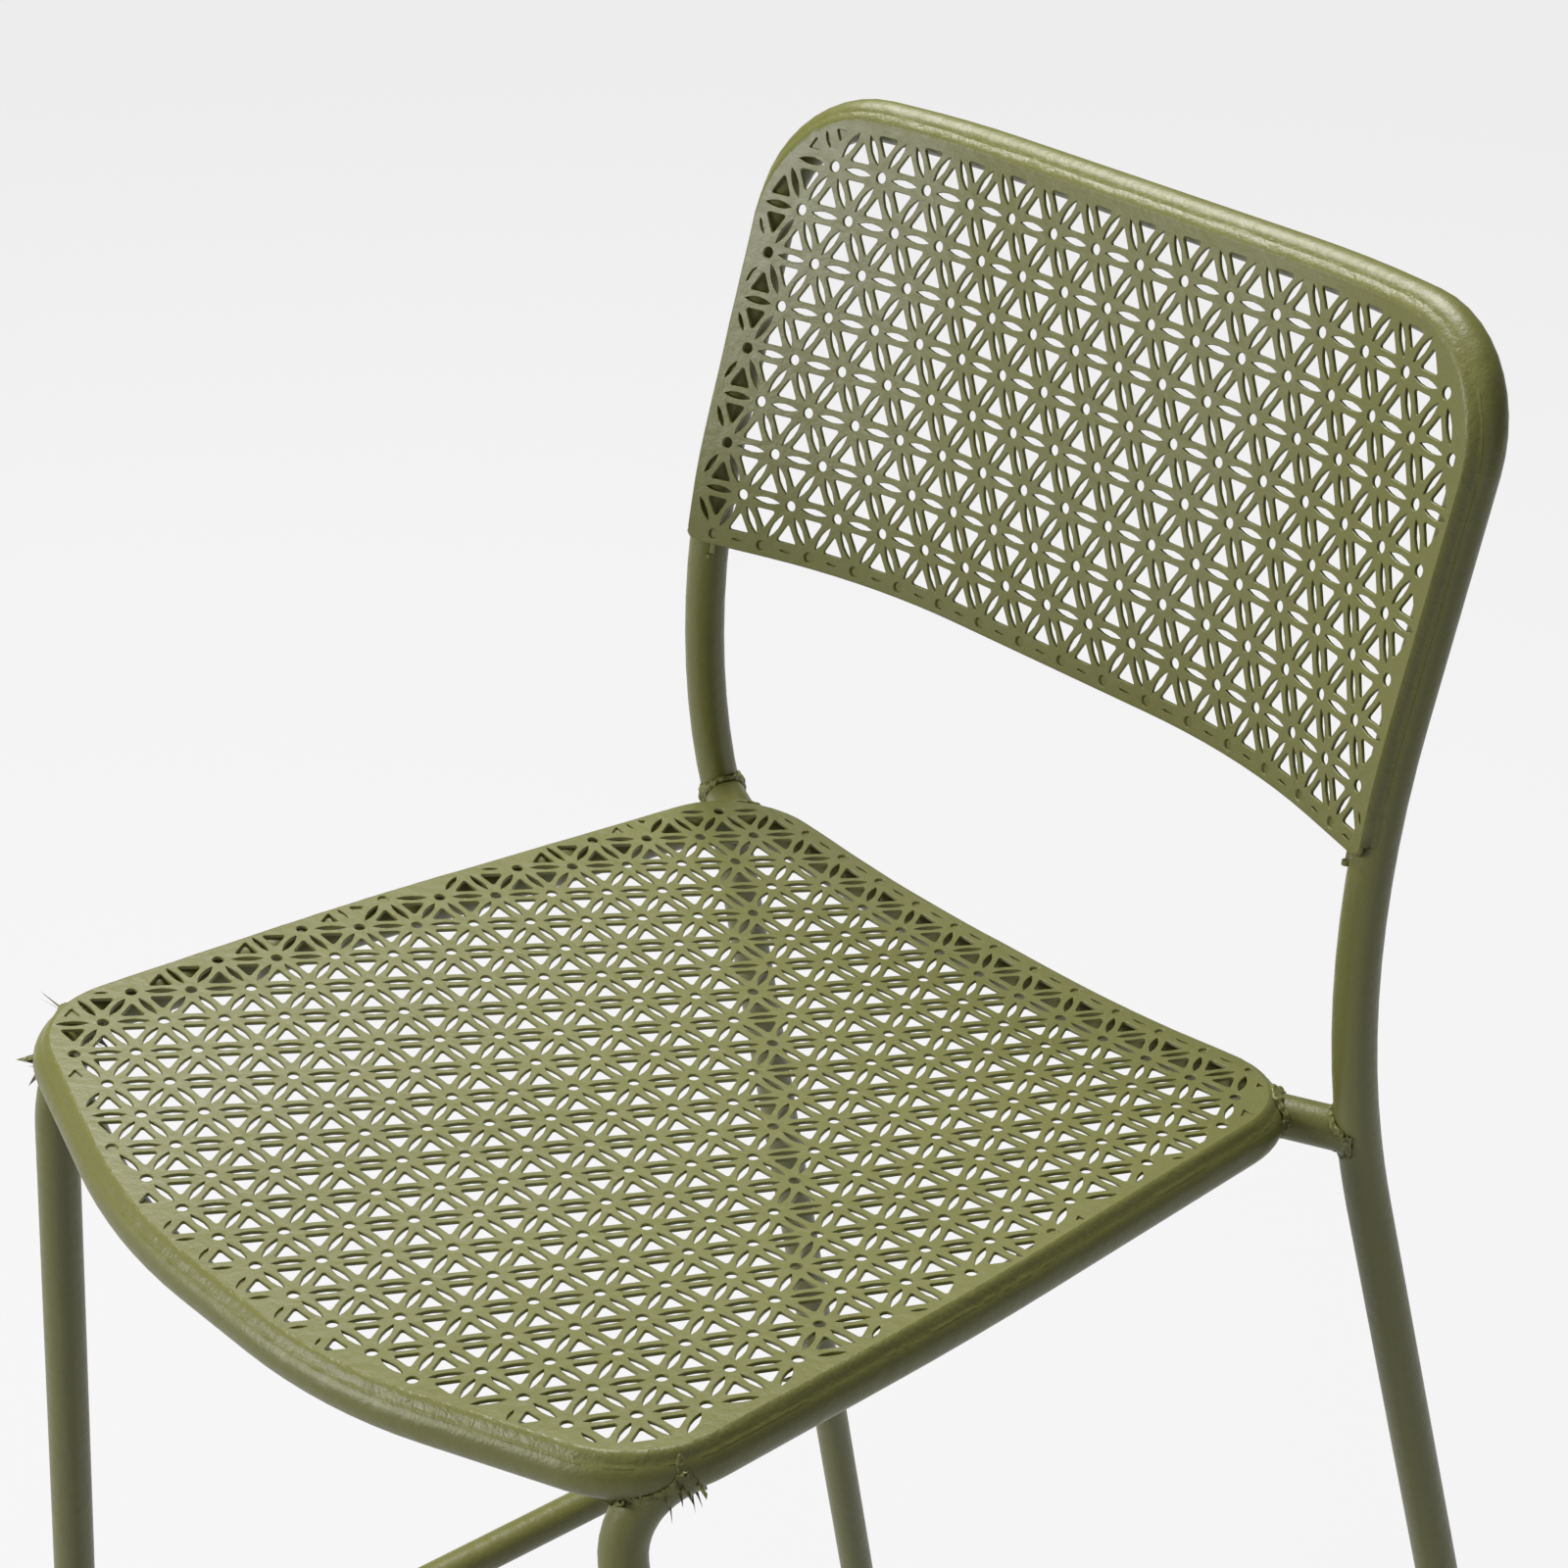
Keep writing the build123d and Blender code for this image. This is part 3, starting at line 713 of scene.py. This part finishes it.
# The fold's section: height above the panel's lower edge and depth behind its face, in millimetres
fold = [(0.9, 1.3), (0.25, 1.5), (0, 2.1), (0.2, 2.8), (0.9, 3.3), (2, 3.4), (5.7, 3.4), (6, 3.1)]
fold += [(6, 2.2), (5.7, 1.95), (2.0, 1.95), (1.5, 1.52)]
hem_half = frame_half - 11.5 * mm
hem_steps = 72
run = np.linspace(-hem_half, hem_half, hem_steps + 1)
flat = [(along, panel_bottom + up * mm, -depth * mm) for along in run for up, depth in fold]
hem = strip("back_hem", [flat[i:i + len(fold)] for i in range(0, len(flat), len(fold))], floor=True)
folded = bmesh.new()
folded.from_mesh(hem.data)
folded.verts.ensure_lookup_table()
folded.faces.new(folded.verts[:len(fold)])
bmesh.ops.recalc_face_normals(folded, faces=folded.faces)
for face in folded.faces:
    face.smooth = len(face.verts) == 4
folded.to_mesh(hem.data)
folded.free()
hem.data.materials.append(sheet_coat)
flat = coordinates(hem)
stand(hem, back_place(flat[:, 0], flat[:, 1], flat[:, 2]), "back_panel")

# ---------------------------------------------------------------- foot glides
# A turned nylon plug is pressed into the end of each leg, with a dark scuffed pad under it.
glide_nylon = bpy.data.materials.new("glide_nylon")
glide_nylon.use_nodes = True
tree = glide_nylon.node_tree
shader = tree.nodes["Principled BSDF"]
place = Flow(tree, tree.nodes.new("ShaderNodeTexCoord").outputs["Object"])
grain = noise_in(tree, place, 1400.0, 2.0)
scuff = noise_in(tree, place, 160.0, 4.0, 0.7)
height = add(tree, "ShaderNodeSeparateXYZ", {}, (place,))[2]
worn = (scuff > 0.52) * (height < 2.5 * mm)
nylon_black, scuffed_grey = (0.022, 0.022, 0.021), (0.16, 0.155, 0.145)
tone = mixed(tree, worn * 0.55, nylon_black, scuffed_grey)
tree.links.new(tone.socket, shader.inputs["Base Color"])
tree.links.new((0.46 + grain * 0.14 + worn * 0.2).socket, shader.inputs["Roughness"])
relief = {"Strength": 0.3, "Distance": 0.0002, "Height": grain + scuff * 1.5}
bump = add(tree, "ShaderNodeBump", {}, relief)[0]
tree.links.new(bump.socket, shader.inputs["Normal"])
finish_cad(glide_nylon, "glide_plastic", "front_glide_left", "front_glide_right")
finish_cad(glide_nylon, "glide_plastic", "rear_glide_left", "rear_glide_right")

# ---------------------------------------------------------------- floor, light and camera
# A plain pale floor, soft light from the chair's front right, and a long lens.
for tool in [o for pair in openings.values() for o in pair]:
    bpy.data.objects.remove(tool)
mesh = bpy.data.meshes.new("floor")
floor_half = 12
floor_corners = [(x * floor_half, y * floor_half, 0) for x, y in ((-1, -1), (1, -1), (1, 1), (-1, 1))]
mesh.from_pydata(floor_corners, [], [(0, 1, 2, 3)])
floor = linked("floor", mesh)
pale = bpy.data.materials.new("pale_floor")
pale.use_nodes = True
shader = pale.node_tree.nodes["Principled BSDF"]
shader.inputs["Base Color"].default_value = (0.10, 0.10, 0.10, 1)
shader.inputs["Roughness"].default_value = 0.9
shader.inputs["Specular IOR Level"].default_value = 0.0
shader.inputs["Emission Color"].default_value = (1, 1, 1, 1)
shader.inputs["Emission Strength"].default_value = 0.81
mesh.materials.append(pale)
floor.visible_diffuse = False

low, high = cad_box
middle = (low + high) / 2


def softbox(name, place, target, size, power):
    """Square area light that faces a target."""
    data = bpy.data.lights.new(name, "AREA")
    data.shape, data.size, data.energy = "SQUARE", size, power
    lamp = bpy.data.objects.new(name, data)
    bpy.context.scene.collection.objects.link(lamp)
    lamp.location = place
    lamp.rotation_mode = "QUATERNION"
    lamp.rotation_quaternion = (Vector(target) - Vector(place)).to_track_quat("-Z", "Y")


seat_middle = (0, middle.y, 0.85)
softbox("front", (-1.5, -3.0, 1.9), seat_middle, 1.3, 66)
softbox("top", (-1.3, 0.5, 3.4), seat_middle, 1.5, 105)
softbox("side", (3.0, -0.6, 1.6), seat_middle, 2.0, 6)
world = bpy.data.worlds.new("studio")
world.use_nodes = True
world.node_tree.nodes["Background"].inputs["Color"].default_value = (1, 1, 1, 1)
world.node_tree.nodes["Background"].inputs["Strength"].default_value = 0.13
bpy.context.scene.world = world
bpy.context.scene.view_settings.view_transform = "Standard"

lens = bpy.data.cameras.new("camera")
lens.lens, lens.sensor_width = 86.26, 36.0
camera = bpy.data.objects.new("camera", lens)
bpy.context.scene.collection.objects.link(camera)
camera.location = (1.0483, -0.9326, 1.6158)
camera.rotation_euler = (1.08226, 0.00046, 0.85038)
bpy.context.scene.camera = camera
